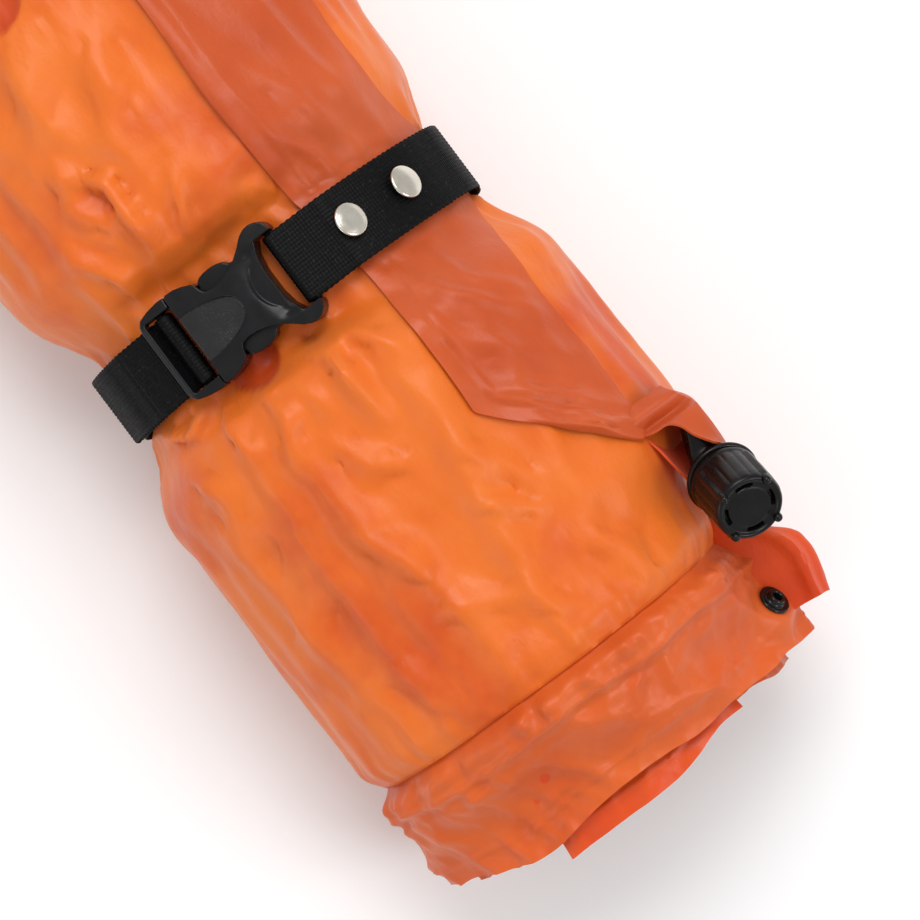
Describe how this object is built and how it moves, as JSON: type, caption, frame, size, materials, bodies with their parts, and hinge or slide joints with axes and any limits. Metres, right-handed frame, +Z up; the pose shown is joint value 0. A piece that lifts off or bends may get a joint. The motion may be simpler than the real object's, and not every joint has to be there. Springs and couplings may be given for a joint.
{
  "type": "rolled dry bag",
  "caption": "Rolled welded dry bag of padded coated fabric, cinched by a webbing strap with a side-release buckle, with a twist valve at one corner.",
  "frame": {"origin": "centre of the bounding box in X and Y, at the flat underside that the roll rests on; the strap lies at X = 0", "axes": "+X along the roll towards the end with the valve, +Y across the roll towards the riveted side of the strap, +Z up"},
  "size_m": [0.388, 0.1628, 0.119],
  "materials": {
    "panel": "coated satin, creased",
    "band": "coated satin, welded two layers",
    "tab": "coated satin, slightly translucent",
    "foam": "matt",
    "webbing": "woven, matt",
    "buckle": "fine texture",
    "nickel": "brushed nickel plate",
    "valve": "moulded satin",
    "rubber": "matt",
    "stud": "gloss"
  },
  "bodies": {
    "bag": {"outer_skin": "panel", "foam_pad": "foam", "lining_skin": "panel", "inner_turns": "foam", "core_fold": "foam", "valve_end_flange": "band", "valve_end_inner_flange": "band", "far_end_flange": "band", "far_end_inner_flange": "band", "edge_band": "band", "corner_tab": "tab", "strap_main": "webbing", "rivet_cap_1": "nickel", "rivet_cap_2": "nickel", "rivet_back_1": "nickel", "rivet_back_2": "nickel", "buckle_socket": "buckle", "valve_body": "valve", "valve_o_ring": "rubber", "stud_barrel": "stud", "stud_back_ring": "stud"},
    "plug": {"buckle_plug": "buckle", "strap_lead": "webbing"},
    "prong_right": {"plug_prong_right": "buckle"},
    "prong_left": {"plug_prong_left": "buckle"},
    "valve_seal": {"valve_seal_disc": "rubber"},
    "cap": {"valve_cap": "valve"}
  },
  "joints": [
    {"name": "buckle_release", "type": "slide", "parent": "bag", "child": "plug", "axis": [0, -0.9833, -0.1822], "range_m": [0, 0.034], "deforming": ["strap_lead", "plug_prong_right", "plug_prong_left"]},
    {"name": "prong_squeeze_right", "type": "hinge", "parent": "plug", "child": "prong_right", "pos_m": [0.0065, -0.03148, 0.10184], "axis": [0, -0.1822, 0.9833], "range_deg": [0, 11], "stiffness_Nm_per_rad": 0.9},
    {"name": "prong_squeeze_left", "type": "hinge", "parent": "plug", "child": "prong_left", "pos_m": [-0.0065, -0.03148, 0.10184], "axis": [0, -0.1822, 0.9833], "range_deg": [-11, 0], "stiffness_Nm_per_rad": 0.9},
    {"name": "cap_rise", "type": "slide", "parent": "bag", "child": "valve_seal", "axis": [0.5446, 0, 0.8387], "range_m": [0, 0.003]},
    {"name": "cap_turn", "type": "hinge", "parent": "valve_seal", "child": "cap", "pos_m": [0.1335, 0.06925, 0.092], "axis": [0.5446, 0, 0.8387], "range_deg": [0, 180]}
  ],
  "couplings": [
    {"joint": "prong_squeeze_left", "follows": "prong_squeeze_right", "ratio": -1},
    {"joint": "cap_turn", "follows": "cap_rise", "rad_per_m": 1047.2}
  ]
}
